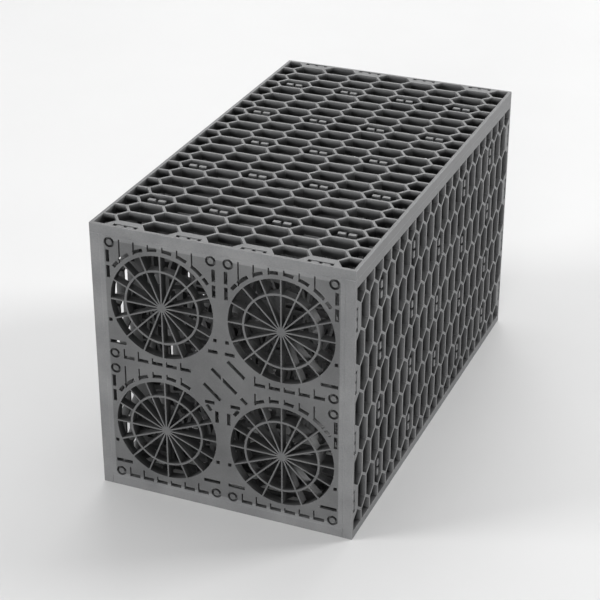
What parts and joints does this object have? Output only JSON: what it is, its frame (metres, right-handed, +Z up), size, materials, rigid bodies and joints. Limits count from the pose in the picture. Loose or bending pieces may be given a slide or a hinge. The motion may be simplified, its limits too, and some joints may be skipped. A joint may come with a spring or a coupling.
{
  "type": "soakaway crate",
  "caption": "Box-shaped underground drainage crate plugged together from flat lattice plates, with round pipe knock-outs in one end, that holds storm water while it soaks away.",
  "frame": {"origin": "middle of the crate's underside, on the ground", "axes": "+X to the right across the width seen from the inlet end, +Y along the length away from the inlet end, +Z up"},
  "size_m": [0.4, 0.72, 0.43],
  "materials": {
    "plates": "satin moulded recycled polypropylene, dark grey"
  },
  "bodies": {
    "root": {"top_plate": "plates", "bottom_plate": "plates", "left_side_plate": "plates", "right_side_plate": "plates", "inlet_end_plate": "plates", "rear_end_plate": "plates", "inner_plate_1": "plates", "inner_plate_2": "plates", "inner_plate_3": "plates", "inner_plate_4": "plates", "inner_plate_5": "plates"}
  },
  "joints": []
}
